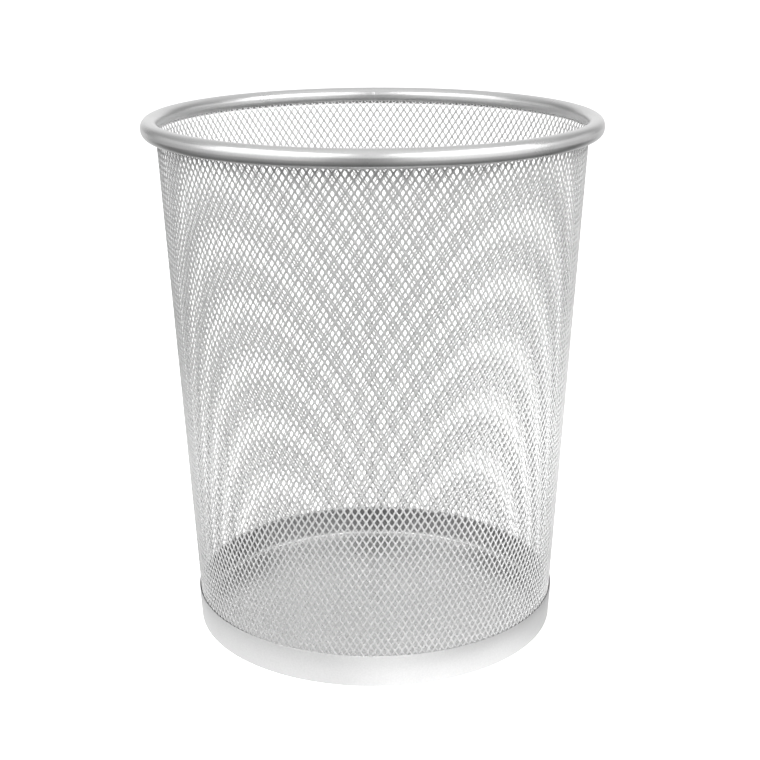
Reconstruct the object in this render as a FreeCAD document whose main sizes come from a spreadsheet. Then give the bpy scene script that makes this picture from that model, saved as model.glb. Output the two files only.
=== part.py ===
import FreeCAD, Part

# Round office wastebasket: a tapered expanded-metal wall held between a roll-formed oval rim tube
# and a shallow base.  The base is an outer band, crimped under a pressed floor pan whose upturned
# flange clamps the foot of the wall against the band.
#
# Frame: millimetres, +Z up, origin on the ground at the centre of the base.  The front is -Y, and
# every joint in a strip (rim, wall seam, band) is at the back, +Y.

import math
import os

import Sketcher

# alias, value, what it is
DIMENSIONS = [
    ("overall_height", 346.0, "ground to the top of the rim"),
    ("rim_diameter", 297.2, "outside of the rim tube, the widest part"),
    ("rim_width", 10.4, "rim tube section, across"),
    ("rim_height", 11.8, "rim tube section, up and down"),
    ("sheet_gauge", 0.5, "steel strip of the rim, band and pan"),
    ("rim_slot_radius", 139.5, "outer edge of the slot that the wall enters"),
    ("rim_slot_top", 1.6, "how far below the rim's middle the slot ends"),
    ("weld_width", 1.6, "butt weld that closes the rim and the band"),
    ("wall_head_radius", 139.3, "outside of the wall at the rim's middle height"),
    ("wall_foot_radius", 122.5, "outside of the wall at the band's top edge"),
    ("wall_solid_thickness", 0.25, "half the 0.5 gauge, because openings take half the sheet"),
    ("wall_head_reach", 1.2, "how far the wall rises past the rim's middle"),
    ("wall_foot_height", 4.0, "lower edge of the wall, above the ground"),
    ("cells_around", 176, "diamond openings in each ring of the wall, at every height"),
    ("strand_length", 4.37, "side of a diamond, from crossing to crossing"),
    ("seam_overlap", 6.0, "how far the ends of the wall lap, at the back"),
    ("seam_weld_count", 14, "spot welds up the lapped seam"),
    ("seam_weld_cells", 3, "diamonds from one seam weld to the next"),
    ("seam_weld_foot", 32.0, "height of the lowest seam weld"),
    ("seam_weld_diameter", 1.8, "seam spot weld"),
    ("seam_weld_height", 0.3, "how far a seam weld stands off the lap"),
    ("band_height", 22.0, "ground to the band's top edge"),
    ("band_radius", 123.6, "outside of the band at its top edge"),
    ("band_corner", 0.7, "outer radius of the band's bottom corner"),
    ("band_lip_radius", 115.0, "inner edge of the lip crimped under the pan"),
    ("wall_clearance", 1.2, "room for the wall between the band and the flange"),
    ("flange_height", 21.0, "ground to the top of the pan's flange"),
    ("pan_corner", 2.5, "outer radius of the pan's corner"),
    ("base_weld_count", 12, "spot welds through the flange and the wall"),
    ("base_weld_diameter", 4.0, "base spot weld"),
    ("base_weld_thickness", 0.33, "weld between the flange and the wall"),
    ("base_weld_level", 12.0, "height of the base spot welds"),
]
SIZE = {alias: value for alias, value, meaning in DIMENSIONS}

# The wall, the band and the flange all lean outwards by the same angle.
RIM_MIDDLE = SIZE["overall_height"] - SIZE["rim_height"] / 2
TAPER = math.atan((SIZE["wall_head_radius"] - SIZE["wall_foot_radius"]) / (RIM_MIDDLE - SIZE["band_height"]))

# The same values as expressions on the sheet.
RIM_MIDDLE_CELL = "(Dimensions.overall_height - Dimensions.rim_height / 2)"
RIM_CENTRE_CELL = "(Dimensions.rim_diameter / 2 - Dimensions.rim_width / 2)"
SLOPE_CELL = (
    "((Dimensions.wall_head_radius - Dimensions.wall_foot_radius)"
    f" / ({RIM_MIDDLE_CELL} - Dimensions.band_height))"
)

BACK = 90.0  # degrees about +Z from +X
START, END, CENTRE = 1, 2, 3  # a sketch element's points
ROOT_POINT = -1  # the sketch's origin


def make_sheet(doc):
    """The driving dimensions, one row each: name, value, meaning."""
    sheet = doc.addObject("Spreadsheet::Sheet", "Dimensions")
    for row, (alias, value, meaning) in enumerate(DIMENSIONS, start=1):
        sheet.set(f"A{row}", alias)
        sheet.set(f"B{row}", str(value))
        sheet.set(f"C{row}", meaning)
        sheet.setAlias(f"B{row}", alias)
    doc.recompute()
    return sheet


def new_body(doc, label, turn=0.0):
    """An empty body turned about the object's axis."""
    body = doc.addObject("PartDesign::Body", label.title().replace("_", ""))
    body.Label = label
    body.Placement = FreeCAD.Placement(
        FreeCAD.Vector(0, 0, 0), FreeCAD.Rotation(FreeCAD.Vector(0, 0, 1), turn)
    )
    return body


def section_sketch(body, name):
    """A sketch on the body's own XZ plane: its x is the radius and its y is the height."""
    sketch = body.newObject("Sketcher::SketchObject", name)
    plane = next(p for p in body.Origin.OriginFeatures if p.Role == "XZ_Plane")
    sketch.AttachmentSupport = [(plane, "")]
    sketch.MapMode = "FlatFace"
    return sketch


def point(radius, height):
    return FreeCAD.Vector(radius, height, 0)


def bind(sketch, constraint, expression):
    """Add a dimension and drive it from the sheet."""
    index = sketch.addConstraint(constraint)
    sketch.setExpression(f"Constraints[{index}]", expression)


def place_point(sketch, element, end, spot, radius_cell, height_cell):
    """Hold one point of the sketch at a radius and a height."""
    for kind, value, cell in (("DistanceX", spot.x, radius_cell), ("DistanceY", spot.y, height_cell)):
        bind(sketch, Sketcher.Constraint(kind, ROOT_POINT, START, element, end, value), cell)


def add_line(sketch, start, end):
    return sketch.addGeometry(Part.LineSegment(start, end), False)


def add_arc(sketch, centre, radius, first, last):
    circle = Part.Circle(centre, FreeCAD.Vector(0, 0, 1), radius)
    return sketch.addGeometry(Part.ArcOfCircle(circle, first, last), False)


def join(sketch, kind, *ends):
    """Join elements end to start: kind is Coincident or Tangent."""
    for first, first_end, second, second_end in ends:
        sketch.addConstraint(Sketcher.Constraint(kind, first, first_end, second, second_end))


def revolve(body, sketch, kind="PartDesign::Revolution", angle_cell="360", midplane=False):
    """Turn a section about the object's axis."""
    feature = body.newObject(kind, kind.split("::")[1])
    feature.Profile = sketch
    feature.ReferenceAxis = (sketch, ["V_Axis"])
    feature.Midplane = midplane
    feature.setExpression("Angle", angle_cell)
    sketch.Visibility = False
    return feature


def bent_sheet(body, top, top_cells, lip, lip_cells, corner, corner_cell):
    """Section of a sheet with a level leg, a rounded corner and a leaning leg.

    top is the outer point of the leaning leg's upper edge, lip the lower point of the level leg's
    inner edge, and corner the outside radius of the bend.
    """
    gauge = SIZE["sheet_gauge"]
    lean = FreeCAD.Vector(math.cos(TAPER), -math.sin(TAPER), 0)
    centre_height = lip.y + corner
    centre_radius = top.x - (corner + (top.y - centre_height) * math.sin(TAPER)) / math.cos(TAPER)
    centre = point(centre_radius, centre_height)
    inner_top = point(top.x - gauge / math.cos(TAPER), top.y)

    sketch = section_sketch(body, "BentSheet")
    outer_leg = add_line(sketch, centre + lean * corner, top)
    outer_bend = add_arc(sketch, centre, corner, -math.pi / 2, -TAPER)
    under_leg = add_line(sketch, lip, point(centre.x, lip.y))
    lip_edge = add_line(sketch, lip + point(0, gauge), lip)
    upper_leg = add_line(sketch, point(centre.x, lip.y + gauge), lip + point(0, gauge))
    inner_bend = add_arc(sketch, centre, corner - gauge, -math.pi / 2, -TAPER)
    inner_leg = add_line(sketch, inner_top, centre + lean * (corner - gauge))
    top_edge = add_line(sketch, top, inner_top)

    join(
        sketch,
        "Tangent",
        (outer_bend, END, outer_leg, START),
        (under_leg, END, outer_bend, START),
        (upper_leg, START, inner_bend, START),
        (inner_bend, END, inner_leg, END),
    )
    join(
        sketch,
        "Coincident",
        (outer_leg, END, top_edge, START),
        (top_edge, END, inner_leg, START),
        (upper_leg, END, lip_edge, START),
        (lip_edge, END, under_leg, START),
        (outer_bend, CENTRE, inner_bend, CENTRE),
    )
    for level in (under_leg, upper_leg, top_edge):
        sketch.addConstraint(Sketcher.Constraint("Horizontal", level))
    sketch.addConstraint(Sketcher.Constraint("Vertical", lip_edge))
    sketch.addConstraint(Sketcher.Constraint("Parallel", outer_leg, inner_leg))
    place_point(sketch, outer_leg, END, top, *top_cells)
    place_point(sketch, under_leg, START, lip, *lip_cells)
    bind(sketch, Sketcher.Constraint("Radius", outer_bend, corner), corner_cell)
    bind(
        sketch,
        Sketcher.Constraint("DistanceY", lip_edge, END, lip_edge, START, gauge),
        "Dimensions.sheet_gauge",
    )
    bind(
        sketch,
        Sketcher.Constraint("Angle", outer_leg, math.pi / 2 - TAPER),
        f"90 deg - atan({SLOPE_CELL})",
    )
    return sketch


def add_oval(sketch, radius, radius_cell):
    """A closed oval about the rim tube's middle: two arcs joined by short upright flats."""
    centre_radius = (SIZE["rim_diameter"] - SIZE["rim_width"]) / 2
    flat = (SIZE["rim_height"] - SIZE["rim_width"]) / 2
    upper = point(centre_radius, RIM_MIDDLE + flat)
    lower = point(centre_radius, RIM_MIDDLE - flat)
    side = point(radius, 0)
    upper_arc = add_arc(sketch, upper, radius, 0, math.pi)
    lower_arc = add_arc(sketch, lower, radius, math.pi, 2 * math.pi)
    inner_flat = add_line(sketch, upper - side, lower - side)
    outer_flat = add_line(sketch, lower + side, upper + side)
    join(
        sketch,
        "Tangent",
        (upper_arc, END, inner_flat, START),
        (inner_flat, END, lower_arc, START),
        (lower_arc, END, outer_flat, START),
        (outer_flat, END, upper_arc, START),
    )
    flat_cell = "(Dimensions.rim_height - Dimensions.rim_width) / 2"
    place_point(sketch, upper_arc, CENTRE, upper, RIM_CENTRE_CELL, f"{RIM_MIDDLE_CELL} + {flat_cell}")
    place_point(sketch, lower_arc, CENTRE, lower, RIM_CENTRE_CELL, f"{RIM_MIDDLE_CELL} - {flat_cell}")
    for arc in (upper_arc, lower_arc):
        bind(sketch, Sketcher.Constraint("Radius", arc, radius), radius_cell)


def add_quad(sketch, corners, cells):
    """A closed four-sided section with each corner held by the sheet."""
    lines = [add_line(sketch, corners[i], corners[(i + 1) % 4]) for i in range(4)]
    join(sketch, "Coincident", *((lines[i], END, lines[(i + 1) % 4], START) for i in range(4)))
    for line, corner, pair in zip(lines, corners, cells):
        place_point(sketch, line, START, corner, *pair)


def gap_angle(radius):
    """Degrees that a butt weld takes up at this radius."""
    return math.degrees(SIZE["weld_width"] / radius)


def make_rim(doc, label, turn, angle_cell):
    """The rim tube's section, turned part of the way round, with the slot for the wall."""
    body = new_body(doc, label, turn)
    outer = SIZE["rim_width"] / 2
    section = section_sketch(body, "TubeSection")
    add_oval(section, outer, "Dimensions.rim_width / 2")
    add_oval(section, outer - SIZE["sheet_gauge"], "Dimensions.rim_width / 2 - Dimensions.sheet_gauge")
    revolve(body, section, angle_cell=angle_cell)
    doc.recompute()
    closed_volume = body.Shape.Volume

    slot_top = RIM_MIDDLE - SIZE["rim_slot_top"]
    slot_foot = SIZE["overall_height"] - SIZE["rim_height"] - 1
    inside = SIZE["rim_diameter"] / 2 - SIZE["rim_width"] - 1
    outside = SIZE["rim_slot_radius"]
    inside_cell = "Dimensions.rim_diameter / 2 - Dimensions.rim_width - 1"
    foot_cell = "Dimensions.overall_height - Dimensions.rim_height - 1"
    top_cell = f"{RIM_MIDDLE_CELL} - Dimensions.rim_slot_top"
    slot = section_sketch(body, "WallSlot")
    add_quad(
        slot,
        [point(inside, slot_foot), point(outside, slot_foot), point(outside, slot_top), point(inside, slot_top)],
        [
            (inside_cell, foot_cell),
            ("Dimensions.rim_slot_radius", foot_cell),
            ("Dimensions.rim_slot_radius", top_cell),
            (inside_cell, top_cell),
        ],
    )
    revolve(body, slot, kind="PartDesign::Groove")
    doc.recompute()
    if not body.Shape.Volume < closed_volume:
        raise RuntimeError(f"the slot in {label} cuts nothing")
    return body


def wall_radius(height, depth=0.0):
    """Radius of the wall at a height, depth inside its outer face, measured level."""
    return SIZE["wall_foot_radius"] + (height - SIZE["band_height"]) * math.tan(TAPER) - depth


def wall_radius_cell(height_cell, plies):
    """The same radius as an expression, some number of sheet thicknesses in."""
    return (
        f"Dimensions.wall_foot_radius + ({height_cell} - Dimensions.band_height) * {SLOPE_CELL}"
        f" - {plies} * Dimensions.wall_solid_thickness"
    )


def make_wall(doc):
    """The tapered wall, with its lapped ends at the back.

    The real sheet is expanded metal.  This solid has its outer face, its height and its metal
    volume, so it is thinner than the sheet and has no openings.
    """
    body = new_body(doc, "mesh_wall", BACK)
    foot = SIZE["wall_foot_height"]
    head = RIM_MIDDLE + SIZE["wall_head_reach"]
    thickness = SIZE["wall_solid_thickness"]
    foot_cell = "Dimensions.wall_foot_height"
    head_cell = f"({RIM_MIDDLE_CELL} + Dimensions.wall_head_reach)"
    lap_angle_cell = "Dimensions.seam_overlap / Dimensions.wall_foot_radius * 180 / pi"
    for name, ply, angle_cell in (("Sheet", 0, "360"), ("LappedEnd", 1, lap_angle_cell)):
        corners = []
        cells = []
        for height, cell, plies in (
            (foot, foot_cell, ply),
            (head, head_cell, ply),
            (head, head_cell, ply + 1),
            (foot, foot_cell, ply + 1),
        ):
            corners.append(point(wall_radius(height, plies * thickness), height))
            cells.append((wall_radius_cell(cell, plies), cell))
        sketch = section_sketch(body, name)
        add_quad(sketch, corners, cells)
        revolve(body, sketch, angle_cell=angle_cell, midplane=angle_cell != "360")
        doc.recompute()
    return body


def make_band(doc, label, turn, angle_cell):
    """The outer band's section, turned part of the way round."""
    body = new_body(doc, label, turn)
    sketch = bent_sheet(
        body,
        point(SIZE["band_radius"], SIZE["band_height"]),
        ("Dimensions.band_radius", "Dimensions.band_height"),
        point(SIZE["band_lip_radius"], 0),
        ("Dimensions.band_lip_radius", "0"),
        SIZE["band_corner"],
        "Dimensions.band_corner",
    )
    revolve(body, sketch, angle_cell=angle_cell)
    return body


def flange_radius(height):
    """Outside of the pan's flange at a height."""
    inside_band = SIZE["band_radius"] - SIZE["sheet_gauge"] - SIZE["wall_clearance"]
    return inside_band - (SIZE["band_height"] - height) * math.tan(TAPER)


def make_pan(doc):
    """The pressed floor, resting on the band's lip, with its upturned flange."""
    body = new_body(doc, "floor_pan")
    flange_cell = (
        "Dimensions.band_radius - Dimensions.sheet_gauge - Dimensions.wall_clearance"
        f" - (Dimensions.band_height - Dimensions.flange_height) * {SLOPE_CELL}"
    )
    sketch = bent_sheet(
        body,
        point(flange_radius(SIZE["flange_height"]), SIZE["flange_height"]),
        (flange_cell, "Dimensions.flange_height"),
        point(0, SIZE["sheet_gauge"]),
        ("0", "Dimensions.sheet_gauge"),
        SIZE["pan_corner"],
        "Dimensions.pan_corner",
    )
    revolve(body, sketch)
    return body


def weld_group(doc, label, spots, diameter_cell, thickness_cell):
    """Disc-shaped spot welds in one group; spots are (azimuth, inner radius, height)."""
    discs = []
    for number, (azimuth, radius, height) in enumerate(spots, start=1):
        disc = doc.addObject("Part::Cylinder", f"{label.title().replace('_', '')}{number}")
        disc.setExpression("Radius", f"{diameter_cell} / 2")
        disc.setExpression("Height", thickness_cell)
        around = FreeCAD.Rotation(FreeCAD.Vector(0, 0, 1), azimuth)
        outwards = FreeCAD.Rotation(FreeCAD.Vector(0, 1, 0), 90 + math.degrees(TAPER))
        base = around.multVec(FreeCAD.Vector(radius, 0, height))
        disc.Placement = FreeCAD.Placement(base, around.multiply(outwards))
        discs.append(disc)
    group = doc.addObject("Part::Compound", label.title().replace("_", ""))
    group.Label = label
    group.Links = discs
    return group


def next_crossing(height):
    """Height of the next ring of strand crossings, half a diamond above this one.

    The number of diamonds round the wall is the same at every height, so they get wider and
    shorter towards the rim.
    """
    half_width = math.pi * wall_radius(height) / SIZE["cells_around"]
    half_length = math.sqrt(SIZE["strand_length"] ** 2 - half_width**2)
    return height + half_length * math.cos(TAPER)


def make_seam_welds(doc):
    """Spot welds up the lap, on the inside of the wall, each on a crossing of strands."""
    depth = 2 * SIZE["wall_solid_thickness"] + SIZE["seam_weld_height"]
    height = SIZE["seam_weld_foot"]
    spots = []
    for weld in range(SIZE["seam_weld_count"]):
        spots.append((BACK, wall_radius(height, depth), height))
        for ring in range(2 * SIZE["seam_weld_cells"]):
            height = next_crossing(height)
    return weld_group(
        doc, "mesh_seam_welds", spots, "Dimensions.seam_weld_diameter", "Dimensions.seam_weld_height"
    )


def make_base_welds(doc):
    """Spot welds in a ring, filling the room between the flange and the wall."""
    level = SIZE["base_weld_level"]
    inner = flange_radius(level)
    outer = wall_radius(level, SIZE["wall_solid_thickness"])
    start = (inner + outer - SIZE["base_weld_thickness"]) / 2
    count = SIZE["base_weld_count"]
    spots = [((step + 0.5) * 360 / count, start, level) for step in range(count)]
    return weld_group(
        doc, "base_spot_welds", spots, "Dimensions.base_weld_diameter", "Dimensions.base_weld_thickness"
    )


def make_parts(doc):
    rim_gap = gap_angle((SIZE["rim_diameter"] - SIZE["rim_width"]) / 2)
    band_gap = gap_angle(SIZE["band_radius"])
    rim_gap_cell = f"Dimensions.weld_width / {RIM_CENTRE_CELL} * 180 / pi"
    band_gap_cell = "Dimensions.weld_width / Dimensions.band_radius * 180 / pi"
    return [
        make_rim(doc, "rim_tube", BACK + rim_gap / 2, f"360 - {rim_gap_cell}"),
        make_rim(doc, "rim_butt_weld", BACK - rim_gap / 2, rim_gap_cell),
        make_wall(doc),
        make_seam_welds(doc),
        make_band(doc, "base_band", BACK + band_gap / 2, f"360 - {band_gap_cell}"),
        make_band(doc, "band_butt_weld", BACK - band_gap / 2, band_gap_cell),
        make_pan(doc),
        make_base_welds(doc),
    ]


def check(doc, parts):
    """Stop on any failed feature or unsound solid."""
    for item in doc.Objects:
        if "Invalid" in item.State or "Error" in item.State:
            raise RuntimeError(f"{item.Label} failed: {item.State}")
    for part in parts:
        if part.Shape.isNull() or not part.Shape.isValid():
            raise RuntimeError(f"{part.Label} has no valid shape")
        print(part.Label, len(part.Shape.Solids), "solids", round(part.Shape.Volume), "mm3")


def main():
    doc = FreeCAD.newDocument("Wastebasket")
    make_sheet(doc)
    parts = make_parts(doc)
    doc.recompute()
    check(doc, parts)
    os.makedirs("parts", exist_ok=True)
    for part in parts:
        part.Shape.exportStep(f"parts/{part.Label}.step")


main()
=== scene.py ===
"""Looks of the round mesh wastebasket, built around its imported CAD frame."""

import math

import bpy
import numpy as np
from mathutils import Matrix, Vector


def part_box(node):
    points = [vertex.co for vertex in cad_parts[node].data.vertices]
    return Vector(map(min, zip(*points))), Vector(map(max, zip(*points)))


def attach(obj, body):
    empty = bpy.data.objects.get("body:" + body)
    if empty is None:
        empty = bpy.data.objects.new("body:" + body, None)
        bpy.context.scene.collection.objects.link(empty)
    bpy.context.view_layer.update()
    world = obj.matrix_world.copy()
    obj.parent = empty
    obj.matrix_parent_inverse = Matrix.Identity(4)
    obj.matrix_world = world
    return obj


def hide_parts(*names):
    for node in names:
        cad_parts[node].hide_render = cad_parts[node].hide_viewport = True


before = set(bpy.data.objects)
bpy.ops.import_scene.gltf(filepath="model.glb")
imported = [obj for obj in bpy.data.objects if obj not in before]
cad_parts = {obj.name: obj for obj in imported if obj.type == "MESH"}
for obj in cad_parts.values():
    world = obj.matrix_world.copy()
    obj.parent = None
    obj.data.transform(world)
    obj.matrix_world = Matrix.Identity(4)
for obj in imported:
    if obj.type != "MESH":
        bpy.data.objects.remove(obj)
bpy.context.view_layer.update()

MM = 0.001
FULL_TURN = 2 * math.pi
BACK = math.pi / 2  # azimuth of every closing joint
SAME_HEIGHT = 0.02 * MM  # vertices closer than this in height are on one level


# ---- what the frame says -------------------------------------------------------------------


def node_points(node):
    """Radius and height of every vertex of a CAD node."""
    points = np.array([v.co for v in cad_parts[node].data.vertices], float)
    return np.hypot(points[:, 0], points[:, 1]), points[:, 2]


def radius_at(node, height, pick=max):
    """Largest (or smallest) radius of a CAD node's vertices at a height."""
    radii, heights = node_points(node)
    return pick(radii[abs(heights - height) < SAME_HEIGHT])


RIM_LOW, RIM_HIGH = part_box("rim_tube")
WALL_LOW, WALL_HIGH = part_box("mesh_wall")
BAND_LOW, BAND_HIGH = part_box("base_band")
PAN_LOW, PAN_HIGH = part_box("floor_pan")
WELD_LOW, WELD_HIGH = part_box("mesh_seam_welds")
SPOT_LOW, SPOT_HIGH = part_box("base_spot_welds")
RIM_WELD_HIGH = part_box("rim_butt_weld")[1]
BAND_WELD_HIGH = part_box("band_butt_weld")[1]

WALL_FOOT_RADIUS = radius_at("mesh_wall", WALL_LOW.z)
WALL_HEAD_RADIUS = radius_at("mesh_wall", WALL_HIGH.z)
SLOPE = (WALL_HEAD_RADIUS - WALL_FOOT_RADIUS) / (WALL_HIGH.z - WALL_LOW.z)
TAPER = math.atan(SLOPE)


def wall_radius(height):
    """Radius of the wall's outer face."""
    return WALL_FOOT_RADIUS + (height - WALL_LOW.z) * SLOPE


# ---- meshes --------------------------------------------------------------------------------


def add_mesh(name, points, faces, slot, *nodes, sharp=None):
    """A smooth-shaded piece that rides on the basket and stands for CAD nodes."""
    used = sorted({i for face in faces for i in face})
    place = dict(zip(used, range(len(used))))
    mesh = bpy.data.meshes.new(name)
    mesh.from_pydata([tuple(points[i]) for i in used], [], [[place[i] for i in face] for face in faces])
    mesh.polygons.foreach_set("use_smooth", [True] * len(mesh.polygons))
    if sharp is not None:
        mesh.set_sharp_from_angle(angle=math.radians(sharp))
    mesh.update()
    piece = bpy.data.objects.new(name, mesh)
    bpy.context.scene.collection.objects.link(piece)
    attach(piece, "root")
    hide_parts(*nodes)
    return piece


TURN_STEPS = 480  # faces round a turned piece
BEAD_STEPS = 12  # faces along a butt weld
EDGE_STEPS = 6  # round a cut edge of sheet
BEND_STEPS = 10  # round a bent corner of sheet
SHARP = 40  # degrees; turned pieces' edges stay crisp beyond it


def lathe(profile, start, turn, steps, swell=None):
    """Turn a closed (radius, height) section about Z; swell(share) grows it along its normals.

    Gives points and faces. A part turn is closed by an end face at each end.
    """
    section = np.array(profile, float)
    ahead, behind = np.roll(section, -1, 0), np.roll(section, 1, 0)
    along = ahead - behind
    normals = np.stack([along[:, 1], -along[:, 0]], 1)
    normals /= np.linalg.norm(normals, axis=1)[:, None]
    whole = turn == FULL_TURN
    count = len(section)
    rings = steps if whole else steps + 1
    points = []
    for ring in range(rings):
        share = ring / steps
        angle = start + turn * share
        shape = section + normals * (swell(share) if swell else 0.0)
        radii, heights = shape[:, 0], shape[:, 1]
        points.append(np.stack([radii * math.cos(angle), radii * math.sin(angle), heights], 1))
    faces = []
    for ring in range(steps):
        here, there = ring * count, (ring + 1) % rings * count
        for i in range(count):
            j = (i + 1) % count
            faces.append((here + i, there + i, there + j, here + j))
    if not whole:
        faces.append(tuple(range(count)))
        faces.append(tuple(steps * count + i for i in reversed(range(count))))
    return np.concatenate(points), faces


def arc(centre, radius, first, last, steps):
    """Points of an arc in a section, angles in degrees."""
    points = []
    for i in range(steps + 1):
        angle = math.radians(first + (last - first) * i / steps)
        points.append((centre[0] + radius * math.cos(angle), centre[1] + radius * math.sin(angle)))
    return points


def bulge(height):
    """A butt weld's swell along its width: nought at both sides, this height in the middle."""
    return lambda share: height * math.sin(math.pi * share)


# ---- expanded metal ------------------------------------------------------------------------

CELLS = 176  # openings in each ring
HALF_COLUMNS = 2 * CELLS
STRAND_LENGTH = 4.37 * MM  # crossing to crossing
STRAND_WIDTH = 1.16 * MM
SHEET = 0.5 * MM  # thickness of the expanded sheet
EDGE_ROUND = 0.17 * MM  # how far a strand's edges are worn back on each face
TIP_HALF_WIDTH = 0.16 * MM  # blunt end of an opening
SIDE_HALF_LENGTH = 0.45 * MM  # straight side of an opening, beside a crossing
BOND_LEAN = 0.2 * MM  # how far the strands' lower edges stand out and their upper edges sink in
PRESSED = 3 * MM  # height over which the strands lie flatter next to the base and the rim
HEAD_FLARE = 1.0 * MM  # how far the wall's head turns out, into the rim
FLARE_BELOW, FLARE_ABOVE = 1.5 * MM, 3 * MM  # where that turn starts and ends, about the rim's foot
WELD_ROWS = 6  # rows of crossings from one seam weld to the next


def ease(value, low, high):
    """Nought below low, one above high, smooth between."""
    share = min(max((value - low) / (high - low), 0.0), 1.0)
    return share * share * (3 - 2 * share)


def lean_at(height):
    """The strands' lean: none where the base and the rim hold the sheet flat."""
    from_foot = ease(height, BAND_HIGH.z, BAND_HIGH.z + PRESSED)
    from_head = 1 - ease(height, RIM_LOW.z, RIM_LOW.z + PRESSED)
    return BOND_LEAN * from_foot * from_head


def sheet_radius(height):
    """Radius of the sheet's outermost edges: the wall's face, turned out into the rim."""
    turned = ease(height, RIM_LOW.z - FLARE_BELOW, RIM_LOW.z + FLARE_ABOVE)
    return wall_radius(height) + HEAD_FLARE * turned


def half_length(height):
    """Half an opening's height along the wall, where the ring of openings is at this height."""
    half_width = math.pi * wall_radius(height) / CELLS
    return math.sqrt(STRAND_LENGTH**2 - half_width**2)


def row_heights():
    """Heights of the rows of crossings, with the lowest seam weld on row zero, as {row: z}."""
    first = WELD_LOW.z + (WELD_HIGH.x - WELD_LOW.x) / 2 * math.cos(TAPER)
    heights = {0: first}
    row = 0
    while heights[row] < WALL_HIGH.z:
        heights[row + 1] = heights[row] + half_length(heights[row]) * math.cos(TAPER)
        row += 1
    row = 0
    while heights[row] > WALL_LOW.z:
        below = heights[row] - half_length(heights[row]) * math.cos(TAPER)
        heights[row - 1] = heights[row] - half_length(below) * math.cos(TAPER)
        row -= 1
    return heights


ROWS = row_heights()


def opening_ring(height, widening):
    """Eight corners of an opening as (share of half a column, distance up the wall, lean).

    They run anticlockwise, seen from outside, in the order of their names below. Lean is one
    where the edge stands out, minus one where it sinks in; widening wears the edges back.
    """
    half_width = math.pi * wall_radius(height) / CELLS
    half_height = half_length(height)
    share = 1 - (STRAND_WIDTH / 2 - widening) * STRAND_LENGTH / (half_width * half_height)
    blunt = TIP_HALF_WIDTH / half_width
    tip = half_height * (share - blunt)
    side = share - SIDE_HALF_LENGTH / half_height
    flat = SIDE_HALF_LENGTH
    return [
        (blunt, tip, 1),
        (-blunt, tip, 1),
        (-side, flat, 0),
        (-side, -flat, 0),
        (-blunt, -tip, -1),
        (blunt, -tip, -1),
        (side, -flat, 0),
        (side, flat, 0),
    ]


RING = 8  # corners of an opening
TOP_RIGHT, TOP_LEFT, LEFT_HIGH, LEFT_LOW, FOOT_LEFT, FOOT_RIGHT, RIGHT_LOW, RIGHT_HIGH = range(RING)
# Each layer's depth, as a share of the sheet's thickness, and its widening.
LAYERS = ((0.0, EDGE_ROUND), (0.5, 0.0), (1.0, EDGE_ROUND))
OUTER, MIDDLE, INNER = range(len(LAYERS))


def opening_points(column, row, inset):
    """Points round one opening, layer by layer from the outer face."""
    height = ROWS[row]
    points = []
    for depth, widening in LAYERS:
        for across, up, lean in opening_ring(height, widening):
            z = height + up * math.cos(TAPER)
            sink = inset + depth * SHEET + lean_at(z) * (1 - lean)
            radius = sheet_radius(z) - sink * math.cos(TAPER)
            angle = BACK + (column + across) * FULL_TURN / HALF_COLUMNS
            z += sink * math.sin(TAPER)
            points.append((radius * math.cos(angle), radius * math.sin(angle), z))
    return points


class Patch:
    """Points and faces of a patch of expanded metal, which grow as its parts are added.

    A corner is (column, row, number): one of the corners of the opening at that column and row.
    """

    def __init__(self, inset):
        self.inset = inset
        self.start = {}
        self.points = []
        self.faces = []

    def at(self, corner, layer):
        """Index of a corner's point in a layer."""
        column, row, number = corner
        if (column, row) not in self.start:
            self.start[column, row] = len(self.points)
            self.points.extend(opening_points(column, row, self.inset))
        return self.start[column, row] + RING * layer + number

    def face(self, *spots):
        """One face through these (corner, layer) spots."""
        self.faces.append([self.at(corner, layer) for corner, layer in spots])

    def plate(self, corners):
        """The metal's outer and inner face between these corners."""
        self.face(*((corner, OUTER) for corner in corners))
        self.face(*((corner, INNER) for corner in reversed(corners)))

    def side(self, first, second):
        """The metal's worn side from one corner to the next."""
        for layer in (OUTER, MIDDLE):
            self.face((first, layer), (second, layer), (second, layer + 1), (first, layer + 1))

    def cap(self, first, second):
        """A cut end from one corner to another."""
        near = [(first, OUTER), (first, MIDDLE), (first, INNER)]
        self.face((second, OUTER), *near, (second, INNER), (second, MIDDLE))

    def strand(self, corners, joined):
        """A strand between two openings, with its corners near, far, far, near; cut if not joined."""
        self.plate(corners)
        self.side(corners[3], corners[2])
        self.side(corners[1], corners[0])
        if not joined:
            self.cap(corners[1], corners[2])

    def crossing(self, right, above, left, below):
        """The plate where four strands meet, between four openings."""
        upper = [(*right, LEFT_LOW), (*right, LEFT_HIGH), (*above, FOOT_RIGHT), (*above, FOOT_LEFT)]
        lower = [(*left, RIGHT_HIGH), (*left, RIGHT_LOW), (*below, TOP_LEFT), (*below, TOP_RIGHT)]
        self.plate(upper + lower)
        self.side((*right, LEFT_HIGH), (*right, LEFT_LOW))
        self.side((*above, FOOT_LEFT), (*above, FOOT_RIGHT))
        self.side((*left, RIGHT_LOW), (*left, RIGHT_HIGH))
        self.side((*below, TOP_RIGHT), (*below, TOP_LEFT))


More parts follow.
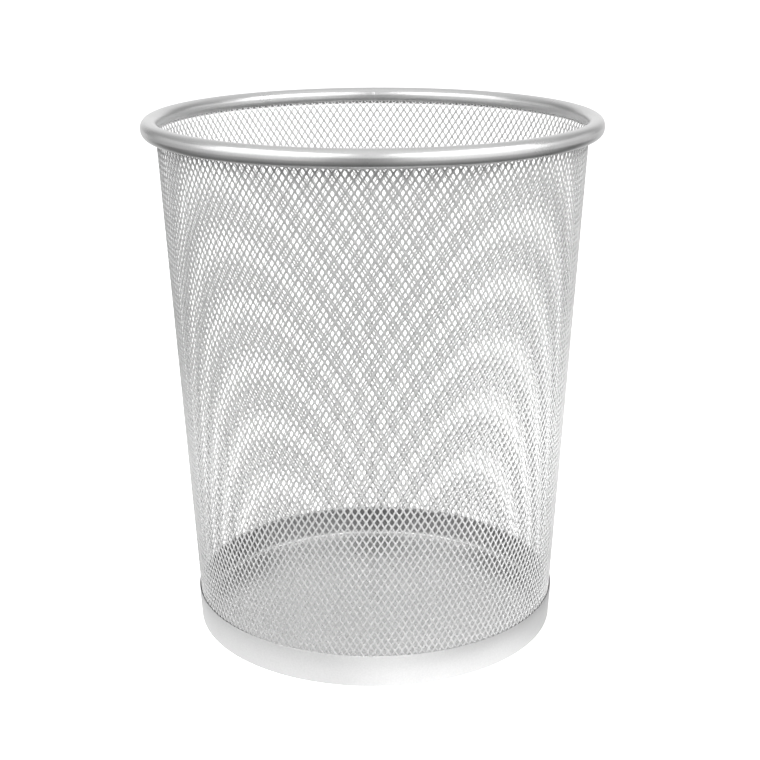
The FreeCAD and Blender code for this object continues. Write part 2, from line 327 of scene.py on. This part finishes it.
def expanded_metal(columns, rows, inset=0.0, joins_next=False):
    """Points and faces of a patch of the wall: crossings in these half columns and rows.

    A crossing sits where column + row is even, an opening where it is odd. Strands run from each
    crossing to the next column's crossings; joins_next also makes those that leave the patch on
    its right. Cut ends are closed.
    """
    patch = Patch(inset)
    inside = {(c, r) for c in columns for r in rows if (c + r) % 2 == 0}
    for c, r in sorted(inside):
        right, above, left, below = (c + 1, r), (c, r + 1), (c - 1, r), (c, r - 1)
        patch.crossing(right, above, left, below)
        if (c - 1, r + 1) not in inside:
            patch.cap((*above, FOOT_LEFT), (*left, RIGHT_HIGH))
        if (c - 1, r - 1) not in inside:
            patch.cap((*left, RIGHT_LOW), (*below, TOP_LEFT))
        rising = [(*right, LEFT_HIGH), (*right, TOP_LEFT), (*above, RIGHT_LOW), (*above, FOOT_RIGHT)]
        falling = [(*below, TOP_RIGHT), (*below, RIGHT_HIGH), (*right, FOOT_LEFT), (*right, LEFT_LOW)]
        leaves = joins_next and c == max(columns)
        for up, corners in ((1, rising), (-1, falling)):
            joined = (c + 1, r + up) in inside
            if joined or (leaves and r + up in rows):
                patch.strand(corners, joined)
            else:
                patch.cap(corners[0], corners[3])
    return patch.points, patch.faces


def seam_spots(inset):
    """Centre and outward direction of each seam weld, inset inside the wall's outer face."""
    spots = []
    for row in range(0, max(ROWS), WELD_ROWS):
        z = ROWS[row]
        if z > WELD_HIGH.z:
            break
        level = Vector((math.cos(BACK), math.sin(BACK), 0))
        out = level * math.cos(TAPER) - Vector((0, 0, math.sin(TAPER)))
        face = level * (sheet_radius(z) - lean_at(z)) + Vector((0, 0, z))
        spots.append((face - out * inset, out))
    return spots


STRIPS = 8
LAP_COLUMNS = range(-1, 2)
PLY_GAP = 0.01 * MM  # between the two plies of the lap
WALL_SHARP = 80  # degrees; strands' edges stay crisp beyond it


def make_wall():
    """The expanded-metal wall in upright strips, with the inner ply of its lap at the back."""
    rows = range(min(ROWS) + 1, max(ROWS))
    strip = HALF_COLUMNS // STRIPS
    pieces = []
    for i in range(STRIPS):
        columns = range(i * strip, (i + 1) * strip)
        points, faces = expanded_metal(columns, rows, joins_next=True)
        name = f"wall_strip_{i + 1}"
        pieces.append(add_mesh(name, points, faces, "mesh_paint", "mesh_wall", sharp=WALL_SHARP))
    points, faces = expanded_metal(LAP_COLUMNS, rows, inset=SHEET + PLY_GAP)
    pieces.append(add_mesh("wall_lap", points, faces, "mesh_paint", "mesh_wall", sharp=WALL_SHARP))
    return pieces


# ---- welds ---------------------------------------------------------------------------------


def dome(centre, out, radius, height, rings=4, steps=20):
    """A shallow round bead standing off a face, closed underneath."""
    side = out.cross(Vector((0, 0, 1))).normalized()
    up = side.cross(out)
    points = [tuple(centre + out * height)]
    for ring in range(1, rings + 1):
        lean = math.pi / 2 * ring / rings
        raised = centre + out * height * math.cos(lean)
        for step in range(steps):
            angle = FULL_TURN * step / steps
            spread = side * math.cos(angle) + up * math.sin(angle)
            points.append(tuple(raised + spread * radius * math.sin(lean)))
    faces = [(0, 1 + i, 1 + (i + 1) % steps) for i in range(steps)]
    for ring in range(rings - 1):
        here = 1 + ring * steps
        there = here + steps
        for i in range(steps):
            j = (i + 1) % steps
            faces.append((here + i, there + i, there + j, here + j))
    last = 1 + (rings - 1) * steps
    faces.append(tuple(last + i for i in reversed(range(steps))))
    return points, faces


def joined(shapes):
    """Several (points, faces) as one."""
    points, faces = [], []
    for some_points, some_faces in shapes:
        base = len(points)
        points.extend(tuple(p) for p in some_points)
        faces.extend(tuple(base + i for i in face) for face in some_faces)
    return points, faces


WELD_SINK = 0.05 * MM  # how far a bead's rim lies under the face it stands on
INNER_BEAD_RADIUS, INNER_BEAD_RISE = 1.0 * MM, 0.35 * MM
OUTER_BEAD_RADIUS, OUTER_BEAD_RISE = 0.9 * MM, 0.2 * MM
BASE_WELDS = 12
BASE_WELD_RISE = 0.22 * MM
BASE_WELD_STEPS = 28
BASE_WELD_SHARP = 60  # degrees


def make_seam_welds():
    """Beads on the crossings up the lap, inside and outside."""
    inner = seam_spots(2 * SHEET - WELD_SINK)
    outer = seam_spots(WELD_SINK)
    shapes = [dome(centre, -out, INNER_BEAD_RADIUS, INNER_BEAD_RISE) for centre, out in inner]
    shapes += [dome(centre, out, OUTER_BEAD_RADIUS, OUTER_BEAD_RISE) for centre, out in outer]
    points, faces = joined(shapes)
    return add_mesh("seam_weld_beads", points, faces, "mesh_paint", "mesh_seam_welds")


def make_base_welds():
    """Spot welds that hold the foot of the wall: shallow marks on the flange's inner face."""
    level = (SPOT_LOW.z + SPOT_HIGH.z) / 2
    flange = radius_at("floor_pan", PAN_HIGH.z, min) - (PAN_HIGH.z - level) * SLOPE
    radius = (SPOT_HIGH.z - SPOT_LOW.z) / 2
    shapes = []
    for spot in range(BASE_WELDS):
        angle = FULL_TURN * (spot + 0.5) / BASE_WELDS
        inwards = Vector((-math.cos(angle), -math.sin(angle), math.tan(TAPER))).normalized()
        face = Vector((flange * math.cos(angle), flange * math.sin(angle), level))
        centre = face - inwards * WELD_SINK
        shapes.append(dome(centre, inwards, radius, BASE_WELD_RISE, steps=BASE_WELD_STEPS))
    points, faces = joined(shapes)
    return add_mesh(
        "base_weld_marks", points, faces, "base_paint", "base_spot_welds", sharp=BASE_WELD_SHARP
    )


# ---- rim -----------------------------------------------------------------------------------

GAUGE = 0.5 * MM  # of the rim, the band and the pan
LIP_GAP = 0.15 * MM  # between the wall and each lip of the tube
LIP_HEIGHT = 3 * MM  # how far up the tube the lips meet the wall
RIM_BEAD = 0.06 * MM  # how far the butt weld stands off the tube
OVER_STEPS = 40  # over the top of the tube
OUTER_STEPS = 28  # from the tube's outer side to its outer lip
INNER_STEPS = 12  # from the tube's inner side to its inner lip


def rim_section():
    """The rolled tube: an oval strip whose lips close on the wall, low on the inner side."""
    outer_radius = RIM_HIGH.x
    half_width = (outer_radius - node_points("rim_tube")[0].min()) / 2
    inner = half_width - GAUGE
    core = half_width - GAUGE / 2
    middle = outer_radius - half_width
    upper = (middle, RIM_HIGH.z - half_width)
    lower = (middle, RIM_LOW.z + half_width)
    wall_outside = sheet_radius(RIM_LOW.z + LIP_HEIGHT)
    outer_lip = -math.degrees(math.acos((wall_outside + LIP_GAP - middle) / half_width))
    inner_lip = 180 + math.degrees(math.acos((middle - wall_outside + SHEET + LIP_GAP) / inner))

    def lip(angle, first, last):
        spot = math.radians(angle)
        centre = (middle + core * math.cos(spot), lower[1] + core * math.sin(spot))
        return arc(centre, GAUGE / 2, first, last, EDGE_STEPS)[1:-1]

    section = arc(lower, half_width, outer_lip, 0, OUTER_STEPS)
    section += arc(upper, half_width, 0, 180, OVER_STEPS)
    section += arc(lower, half_width, 180, inner_lip, INNER_STEPS)
    section += lip(inner_lip, inner_lip, inner_lip + 180)
    section += arc(lower, inner, inner_lip, 180, INNER_STEPS)
    section += arc(upper, inner, 180, 0, OVER_STEPS)
    section += arc(lower, inner, 0, outer_lip, OUTER_STEPS)
    section += lip(outer_lip, outer_lip - 180, outer_lip - 360)
    return section


def make_rim():
    """The rim tube and the bead that closes it."""
    section = rim_section()
    half_gap = RIM_WELD_HIGH.x / RIM_WELD_HIGH.y
    points, faces = lathe(section, BACK + half_gap, FULL_TURN - 2 * half_gap, TURN_STEPS)
    tube = add_mesh("rim_rolled_tube", points, faces, "rim_paint", "rim_tube", sharp=SHARP)
    points, faces = lathe(section, BACK - half_gap, 2 * half_gap, BEAD_STEPS, bulge(RIM_BEAD))
    bead = add_mesh("rim_weld_bead", points, faces, "rim_paint", "rim_butt_weld", sharp=SHARP)
    return tube, bead


# ---- base ----------------------------------------------------------------------------------

BAND_CORNER = 0.7 * MM
BAND_BEAD = 0.12 * MM
PAN_CORNER = 2.5 * MM
PAN_RINGS = 12
HUB_RADIUS = 0.05 * MM  # closes the pan at its middle


def bent_section(top_radius, top, foot, corner):
    """A strip with a leaning leg, a rounded corner and a level leg; foot is its underside.

    Gives its outline from under the corner to above it, and the corner's centre radius.
    """
    lean = -math.degrees(TAPER)
    cos, sin = math.cos(TAPER), math.sin(TAPER)
    centre_height = foot + corner
    centre_radius = top_radius - (corner + (top - centre_height) * sin) / cos
    edge = GAUGE / 2
    tip = (top_radius - edge / cos, top - edge)
    section = arc((centre_radius, centre_height), corner, -90, lean, BEND_STEPS)
    section += arc(tip, edge, lean, lean + 180, EDGE_STEPS)
    section += arc((centre_radius, centre_height), corner - GAUGE, lean, -90, BEND_STEPS)
    return section, centre_radius


def band_section():
    """The band's strip, with its crimped lip under the pan."""
    section, _ = bent_section(BAND_HIGH.x, BAND_HIGH.z, BAND_LOW.z, BAND_CORNER)
    edge = GAUGE / 2
    lip = (node_points("base_band")[0].min() + edge, BAND_LOW.z + edge)
    return section + arc(lip, edge, 90, 270, EDGE_STEPS)


def make_band():
    """The band and the bead that closes it."""
    section = band_section()
    half_gap = BAND_WELD_HIGH.x / BAND_WELD_HIGH.y
    points, faces = lathe(section, BACK + half_gap, FULL_TURN - 2 * half_gap, TURN_STEPS)
    band = add_mesh("base_outer_band", points, faces, "base_paint", "base_band", sharp=SHARP)
    points, faces = lathe(section, BACK - half_gap, 2 * half_gap, BEAD_STEPS, bulge(BAND_BEAD))
    bead = add_mesh("band_weld_bead", points, faces, "base_paint", "band_butt_weld", sharp=SHARP)
    return band, bead


def make_pan():
    """The pressed floor, with its upturned flange."""
    top = radius_at("floor_pan", PAN_HIGH.z)
    section, corner = bent_section(top, PAN_HIGH.z, PAN_LOW.z, PAN_CORNER)
    radii = [corner * i / PAN_RINGS for i in range(1, PAN_RINGS)]
    section += [(radius, PAN_LOW.z + GAUGE) for radius in reversed(radii)]
    section += [(HUB_RADIUS, PAN_LOW.z + GAUGE), (HUB_RADIUS, PAN_LOW.z)]
    section += [(radius, PAN_LOW.z) for radius in radii]
    points, faces = lathe(section, BACK, FULL_TURN, TURN_STEPS)
    return add_mesh("base_floor_pan", points, faces, "base_paint", "floor_pan", sharp=SHARP)


# ---- shader nodes --------------------------------------------------------------------------

WHITE = (1, 1, 1, 1)


def feed(tree, node, inputs):
    """Give each socket of a node a value, or link another node's output to it."""
    for socket, value in inputs.items():
        if isinstance(value, bpy.types.NodeSocket):
            tree.links.new(value, node.inputs[socket])
        else:
            node.inputs[socket].default_value = value


def add_node(tree, kind, inputs=None, **settings):
    """A new shader node with its settings and inputs."""
    node = tree.nodes.new("ShaderNode" + kind)
    for name, value in settings.items():
        setattr(node, name, value)
    feed(tree, node, inputs or {})
    return node


def calculated(tree, operation, *values):
    """Result of a math operation on numbers or outputs."""
    return add_node(tree, "Math", dict(enumerate(values)), operation=operation).outputs[0]


def mapped(tree, value, source, target, shape="LINEAR"):
    """An output taken from its source range to the target range, and held at both ends."""
    inputs = {
        "Value": value,
        "From Min": source[0],
        "From Max": source[1],
        "To Min": target[0],
        "To Max": target[1],
    }
    return add_node(tree, "MapRange", inputs, interpolation_type=shape).outputs["Result"]


def camera_sees(tree, seen, lit):
    """A shader that is seen by the camera as one node, and lights and mirrors as the other."""
    path = add_node(tree, "LightPath")
    ends = {"Fac": path.outputs["Is Camera Ray"], 1: lit.outputs[0], 2: seen.outputs[0]}
    return add_node(tree, "MixShader", ends).outputs[0]


# ---- paint ---------------------------------------------------------------------------------

# Each is a noise's scale and detail, and how far it moves its quality either way.
CLOUD = (25, 3, 0.015)
FLAKE = (900, 1, 0.02)
GLOSS = (60, 2, 0.03)
NOISE_RANGE = (0.3, 0.7)  # nearly all of a noise lies in it
SKIN_SCALE, SKIN_DETAIL = 1500, 2
SKIN_STRENGTH = 0.1
SKIN_DEPTH = 0.02 * MM
PAN_SHADE_SPAN = (PAN_LOW.z + 1.5 * MM, PAN_LOW.z + 4 * MM)  # heights between which the pan's flange is painted darker going up: painted shade inside the flange
PAN_SHADE_SHARE = 0.42  # share of the tone that is left above them: the flange's painted shade


def silver_paint(name, grey, roughness, metallic, shade_span=None, shade_share=1.0):
    """Metallic lacquer: cloudy tone, fine flake, slightly uneven gloss and a faint skin.

    Between two given heights its tone can fall to a share of what it is below, as painted shade.
    """
    material = bpy.data.materials.new(name)
    material.use_nodes = True
    tree = material.node_tree
    place = add_node(tree, "TexCoord").outputs["Object"]

    def noise(scale, detail):
        inputs = {"Vector": place, "Scale": scale, "Detail": detail}
        return add_node(tree, "TexNoise", inputs).outputs["Fac"]

    def uneven(middle, quality):
        scale, detail, spread = quality
        return mapped(tree, noise(scale, detail), NOISE_RANGE, (middle - spread, middle + spread))

    tone = calculated(tree, "ADD", uneven(grey, CLOUD), uneven(0, FLAKE))
    # painted shade: the tone falls going up between the given heights
    if shade_span:
        height = add_node(tree, "SeparateXYZ", {"Vector": place}).outputs["Z"]
        tone = calculated(tree, "MULTIPLY", tone, mapped(tree, height, shade_span, (1, shade_share)))
    colour = add_node(tree, "CombineColor", {"Red": tone, "Green": tone, "Blue": tone})
    skin = {"Strength": SKIN_STRENGTH, "Distance": SKIN_DEPTH, "Height": noise(SKIN_SCALE, SKIN_DETAIL)}
    shader = {
        "Base Color": colour.outputs["Color"],
        "Metallic": metallic,
        "Roughness": uneven(roughness, GLOSS),
        "Normal": add_node(tree, "Bump", skin).outputs["Normal"],
    }
    feed(tree, tree.nodes["Principled BSDF"], shader)
    return material


def paint(material, *pieces):
    """Give pieces their material."""
    for piece in pieces:
        piece.data.materials.append(material)


# ---- camera and room -----------------------------------------------------------------------

CAMERA_PLACE = (0.0060, -0.9761, 0.4759)
CAMERA_PITCH = 0.3076  # radians, looking down
CAMERA_YAW = 0.002  # radians, to the left
CAMERA_ROLL = -0.0042  # radians, its right side down
CAMERA_LENS, CAMERA_SENSOR = 71.29, 36  # millimetres, as Blender takes them
CAMERA_NEAR = 0.01

# Brightness of the room and of the backdrop, as (height in the direction looked in, brightness).
ROOM_STOPS = (
    (-1.0, 0.12),
    (-0.6, 0.18),
    (-0.1, 0.2),
    (0.3, 0.3),
    (0.75, 0.68),
    (0.9, 0.85),
    (1.0, 0.9),
)
BACKDROP_STOPS = ((-1.0, 0.3), (-0.35, 0.9), (0.0, 1.1), (0.6, 0.8), (1.0, 0.75))
BACKDROP_EDGE = (math.radians(20), math.radians(42))  # either side of straight behind
PLAIN_STRENGTH = 1.2  # over one, so that the camera sees pure white


def make_camera():
    """In front of the basket and above it, looking down at it."""
    camera = bpy.data.objects.new("camera", bpy.data.cameras.new("camera"))
    bpy.context.scene.collection.objects.link(camera)
    camera.data.sensor_width = CAMERA_SENSOR
    camera.data.lens = CAMERA_LENS
    camera.data.clip_start = CAMERA_NEAR
    yaw = Matrix.Rotation(CAMERA_YAW, 4, "Z")
    pitch = Matrix.Rotation(math.pi / 2 - CAMERA_PITCH, 4, "X")
    roll = Matrix.Rotation(CAMERA_ROLL, 4, "Z")
    camera.matrix_world = Matrix.Translation(CAMERA_PLACE) @ yaw @ pitch @ roll
    bpy.context.scene.camera = camera


def brightness(tree, height, stops):
    """Brightness that follows a direction's height, minus one to one, through stops."""
    share = mapped(tree, height, (-1, 1), (0, 1))
    ramp = add_node(tree, "ValToRGB", {"Fac": share})
    elements = ramp.color_ramp.elements
    elements.remove(elements[1])
    for i, (level, bright) in enumerate(stops):
        position = (level + 1) / 2
        stop = elements[0] if i == 0 else elements.new(position)
        stop.position = position
        stop.color = (bright, bright, bright, 1)
    return ramp.outputs["Color"]


def make_world():
    """A dim room, lighter overhead, with a bright backdrop; plain white to the camera."""
    world = bpy.data.worlds.new("studio")
    bpy.context.scene.world = world
    world.use_nodes = True
    tree = world.node_tree
    tree.nodes.clear()
    direction = add_node(tree, "TexCoord").outputs["Generated"]
    axes = add_node(tree, "SeparateXYZ", {"Vector": direction}).outputs
    room = brightness(tree, axes["Z"], ROOM_STOPS)
    backdrop = brightness(tree, axes["Z"], BACKDROP_STOPS)
    aside = calculated(tree, "ABSOLUTE", calculated(tree, "ARCTAN2", axes["X"], axes["Y"]))
    behind = mapped(tree, aside, BACKDROP_EDGE, (1, 0))
    blend = add_node(tree, "Mix", {"Factor": behind, "A": room, "B": backdrop}, data_type="RGBA")
    tent = add_node(tree, "Background", {"Color": blend.outputs["Result"]})
    plain = add_node(tree, "Background", {"Color": WHITE, "Strength": PLAIN_STRENGTH})
    add_node(tree, "OutputWorld", {"Surface": camera_sees(tree, plain, tent)})


# ---- paper under the basket ----------------------------------------------------------------

PAPER_HALF_SIDE = 4.0
PAPER_GLOW = 0.7  # makes it pure white to the camera
PAPER_RADIUS = 0.135  # how far the paper round the base stays bright
PAPER_FADE = 0.055
PAPER_BRIGHT = 0.95
PAPER_DIM = 0.07
POOL_NEAR, POOL_FAR = 0.15, 0.6  # distances between which the lights' pools grow on the paper
# Pools of light on the paper: direction, cosine of the angle where it ends, brightness, and
# whether it is close to the base.
POOLS = (
    ((0.79, -0.62), 0.4, 0.4, False),
    ((-0.83, -0.56), 0.4, 0.3, False),
    ((0, 1), 0.4, 0.9, False),
    ((0.5, -0.87), 0.75, 0.45, True),
)


def paper_light(tree):
    """How brightly each place on the paper lights the basket."""
    place = add_node(tree, "TexCoord").outputs["Object"]
    away = add_node(tree, "VectorMath", {0: place}, operation="LENGTH").outputs["Value"]
    heading = add_node(tree, "VectorMath", {0: place}, operation="NORMALIZE").outputs["Vector"]
    near = mapped(tree, away, (PAPER_RADIUS, PAPER_RADIUS + PAPER_FADE), (1, 0), "SMOOTHSTEP")
    far = mapped(tree, away, (POOL_NEAR, POOL_FAR), (0, 1))
    total = mapped(tree, near, (0, 1), (PAPER_DIM, PAPER_BRIGHT))
    for direction, edge, bright, close in POOLS:
        along = {0: heading, 1: (*direction, 0)}
        cosine = add_node(tree, "VectorMath", along, operation="DOT_PRODUCT").outputs["Value"]
        pool = mapped(tree, cosine, (edge, 1), (0, bright), "SMOOTHSTEP")
        total = calculated(tree, "MULTIPLY_ADD", pool, near if close else far, total)
    return total


def paper_material():
    """Pure white to the camera; the basket sees it brighter round the base and in the pools."""
    material = bpy.data.materials.new("studio_paper")
    material.use_nodes = True
    tree = material.node_tree
    tree.nodes.clear()
    diffuse = add_node(tree, "BsdfDiffuse", {"Color": WHITE})
    glow = add_node(tree, "Emission", {"Strength": PAPER_GLOW})
    seen = add_node(tree, "AddShader", {0: diffuse.outputs[0], 1: glow.outputs[0]})
    lit = add_node(tree, "Emission", {"Strength": paper_light(tree)})
    add_node(tree, "OutputMaterial", {"Surface": camera_sees(tree, seen, lit)})
    return material


def make_paper():
    """The paper that the basket stands on; it is studio, and no part of the basket."""
    side = PAPER_HALF_SIDE
    mesh = bpy.data.meshes.new("studio_floor")
    corners = [(-side, -side, 0), (side, -side, 0), (side, side, 0), (-side, side, 0)]
    mesh.from_pydata(corners, [], [(0, 1, 2, 3)])
    mesh.materials.append(paper_material())
    paper = bpy.data.objects.new("studio_floor", mesh)
    bpy.context.scene.collection.objects.link(paper)
    paper.visible_shadow = False


# ---- lights --------------------------------------------------------------------------------

AIM = 0.25  # height that most lights face


def softbox(name, at, size, radiance, aim=AIM, only=None):
    """A soft light panel that faces the basket's axis at the height aim.

    It is at (azimuth, elevation, distance), with azimuth from the front to the right, in degrees.
    With only, it lights no other pieces and no other piece mirrors it.
    """
    azimuth, elevation = math.radians(at[0]), math.radians(at[1])
    distance = at[2]
    flat = distance * math.cos(elevation)
    across, ahead = flat * math.sin(azimuth), -flat * math.cos(azimuth)
    outwards = Vector((across, ahead, distance * math.sin(elevation)))
    width, height = size
    light = bpy.data.lights.new(name, "AREA")
    light.shape = "RECTANGLE"
    light.size = width
    light.size_y = height
    light.energy = radiance * math.pi * width * height
    lamp = bpy.data.objects.new(name, light)
    bpy.context.scene.collection.objects.link(lamp)
    lamp.location = Vector((0, 0, aim)) + outwards
    lamp.rotation_euler = (-outwards).to_track_quat("-Z", "Y").to_euler()
    lamp.visible_camera = False
    if only:
        lit = bpy.data.collections.new(name)
        for piece in only:
            lit.objects.link(piece)
        lamp.light_linking.receiver_collection = lit


def make_lights(wall, rim, band, pan):
    """Large panels left and right, weak fill, and small panels that even out single pieces."""
    softbox("softbox_left", (-52, 13, 1.6), (2.15, 0.95), 1.2, only=[*rim, *band, *pan])
    softbox("softbox_left_top", (-48, 38, 1.6), (1.5, 0.6), 2.9)
    softbox("softbox_right", (52, 12, 1.6), (2.45, 1.0), 1.3, only=[*rim, *pan])
    softbox("softbox_right_top", (49, 38, 1.6), (1.75, 0.65), 2.9, only=[*wall, *rim, *pan])
    softbox("front_fill", (0, 14, 1.8), (0.9, 0.9), 0.5)
    softbox("side_left", (-105, 5, 1.6), (1.1, 0.9), 0.4)
    softbox("side_right", (110, 5, 1.6), (1.1, 0.9), 0.5, only=[*wall, *rim])
    softbox("low_left", (-82, 0, 0.3), (0.4, 0.1), 2.7, aim=0.05, only=wall)
    softbox("low_right", (82, 0, 0.36), (0.5, 0.12), 4.3, aim=0.06, only=wall)
    softbox("low_front", (0, 0, 0.36), (0.4, 0.08), 3.4, aim=0.05, only=wall)
    softbox("high_left", (-45, 52, 1.2), (1.2, 0.8), 1.9, only=wall)
    softbox("high_right", (78, 48, 1.2), (1.2, 0.8), 3.3, only=wall)
    softbox("overhead", (0, 89, 0.35), (0.15, 0.15), 3.0, only=wall)
    softbox("base_front", (8, 0, 0.8), (0.5, 0.25), 7.0, aim=0.12, only=band)


# ---- build ---------------------------------------------------------------------------------

mesh_paint = silver_paint("silver_satin", grey=0.52, roughness=0.38, metallic=0.25)
rim_paint = silver_paint("silver_gloss", grey=0.70, roughness=0.30, metallic=1.0)
band_paint = silver_paint("silver_band", grey=0.66, roughness=0.40, metallic=0.4)
# the pan's flange gets painted shade, darker above its foot
pan_paint = silver_paint(
    "silver_pan", grey=0.82, roughness=0.28, metallic=1.0, shade_span=PAN_SHADE_SPAN, shade_share=PAN_SHADE_SHARE
)

wall = [*make_wall(), make_seam_welds()]
rim = make_rim()
band = make_band()
pan = [make_pan(), make_base_welds()]
paint(mesh_paint, *wall)
paint(rim_paint, *rim)
paint(band_paint, *band)
paint(pan_paint, *pan)

make_world()
make_paper()
make_lights(wall, rim, band, pan)
make_camera()
bpy.context.scene.view_settings.view_transform = "Standard"
